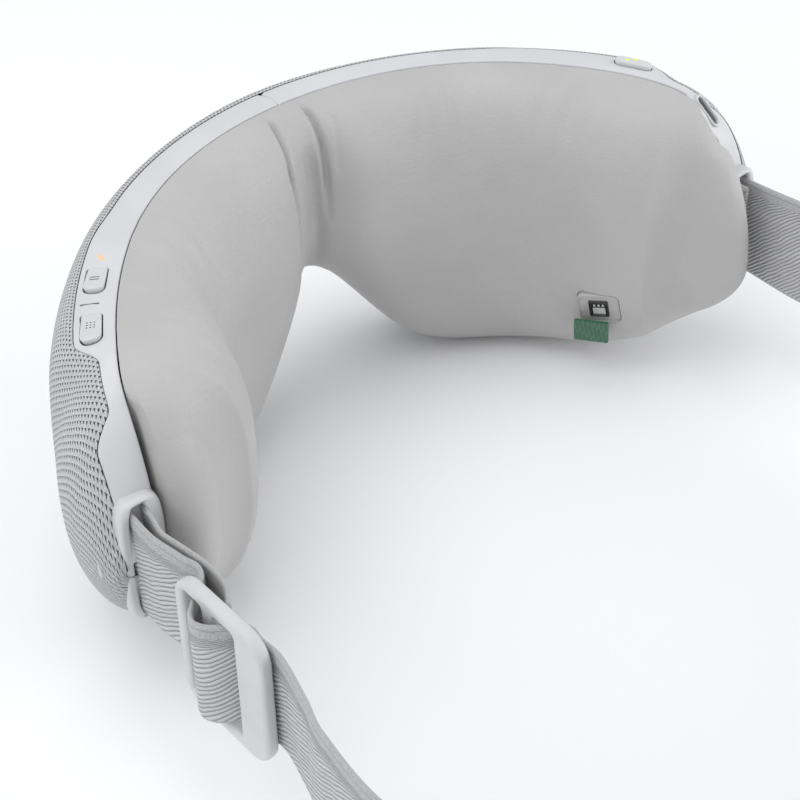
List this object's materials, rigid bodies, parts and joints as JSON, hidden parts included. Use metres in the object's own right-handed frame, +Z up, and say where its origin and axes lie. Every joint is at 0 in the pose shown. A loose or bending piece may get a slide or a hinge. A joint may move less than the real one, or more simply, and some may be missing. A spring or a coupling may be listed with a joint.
{
  "type": "wrap-around eye and temple massager",
  "caption": "Wrap-around padded eye and temple massager with heat and vibration, folding at the nose bridge, with an elastic head strap and slider.",
  "frame": {"origin": "at the nose bridge, where the frame meets the pads, level with the middle of the eye height", "axes": "+Z up as worn, +Y the way the wearer faces, +X the wearer's right"},
  "size_m": [0.2304, 0.2665, 0.0904],
  "materials": {
    "satin_plastic": "satin moulded plastic",
    "slider_plastic": "satin moulded plastic",
    "knit": "open spacer knit with rows of small holes",
    "leather": "soft imitation leather, fine grain",
    "webbing": "elastic webbing with slanted ribs",
    "inner_plastic": "plain moulded plastic",
    "steel": "brushed steel",
    "circuit_board": "lacquered circuit board",
    "heating_mat": "film with printed tracks",
    "cell": "foil pouch",
    "dark_plastic": "dark window",
    "orange_light": "lit indicator",
    "green_light": "lit indicator"
  },
  "bodies": {
    "left_half": {"left_frame": "satin_plastic", "left_shell": "inner_plastic", "left_knit": "knit", "left_tray": "inner_plastic", "left_heater": "heating_mat", "left_screw_1": "steel", "left_screw_2": "steel", "left_pad": "leather", "left_hinge_leaf": "steel", "hinge_pin": "steel", "button_board": "circuit_board", "indicator_light": "orange_light", "main_board": "circuit_board", "bridge_cable": "heating_mat", "left_brow_motor": "steel", "left_temple_motor": "steel", "left_strap_pin": "steel", "strap_left": "webbing", "pad_bridge": "leather", "knit_bridge": "knit"},
    "right_half": {"right_frame": "satin_plastic", "right_shell": "inner_plastic", "right_knit": "knit", "right_tray": "inner_plastic", "right_heater": "heating_mat", "right_screw_1": "steel", "right_screw_2": "steel", "right_pad": "leather", "right_hinge_leaf": "steel", "power_board": "circuit_board", "sensor_rim": "satin_plastic", "sensor_window": "dark_plastic", "sensor_board": "circuit_board", "charge_socket": "steel", "socket_tongue": "dark_plastic", "battery": "cell", "right_brow_motor": "steel", "right_temple_motor": "steel", "right_strap_pin": "steel", "strap_right": "webbing"},
    "pause_button": {"pause_button": "satin_plastic"},
    "pattern_button": {"pattern_button": "satin_plastic"},
    "power_button": {"power_button": "satin_plastic", "power_light": "green_light"},
    "slider": {"slider": "slider_plastic"},
    "left_brow_weight": {"left_brow_weight": "steel"},
    "left_temple_weight": {"left_temple_weight": "steel"},
    "right_brow_weight": {"right_brow_weight": "steel"},
    "right_temple_weight": {"right_temple_weight": "steel"}
  },
  "joints": [
    {"name": "bridge_fold", "type": "hinge", "parent": "left_half", "child": "right_half", "pos_m": [0, -0.0008, 0.019], "axis": [0, 0, -1], "range_deg": [0, 50], "deforming": ["pad_bridge", "knit_bridge", "bridge_cable", "strap_left", "strap_right"]},
    {"name": "pause_button_press", "type": "slide", "parent": "left_half", "child": "pause_button", "axis": [0, 0, -1], "range_m": [0, 0.0008], "stiffness_N_per_m": 400},
    {"name": "pattern_button_press", "type": "slide", "parent": "left_half", "child": "pattern_button", "axis": [0, 0, -1], "range_m": [0, 0.0008], "stiffness_N_per_m": 400},
    {"name": "power_button_press", "type": "slide", "parent": "right_half", "child": "power_button", "axis": [0, 0, -1], "range_m": [0, 0.0008], "stiffness_N_per_m": 400},
    {"name": "slider_slide", "type": "slide", "parent": "left_half", "child": "slider", "axis": [0, -1, 0], "range_m": [-0.008, 0.008], "deforming": ["strap_left"]},
    {"name": "left_brow_spin", "type": "hinge", "parent": "left_half", "child": "left_brow_weight", "pos_m": [-0.03767, -0.0001, 0.015], "axis": [0, 0, 1], "continuous": true},
    {"name": "left_temple_spin", "type": "hinge", "parent": "left_half", "child": "left_temple_weight", "pos_m": [-0.09292, -0.04629, 0.015], "axis": [0, 0, 1], "continuous": true},
    {"name": "right_brow_spin", "type": "hinge", "parent": "right_half", "child": "right_brow_weight", "pos_m": [0.03767, -0.0001, 0.015], "axis": [0, 0, 1], "continuous": true},
    {"name": "right_temple_spin", "type": "hinge", "parent": "right_half", "child": "right_temple_weight", "pos_m": [0.09292, -0.04629, 0.015], "axis": [0, 0, 1], "continuous": true}
  ]
}
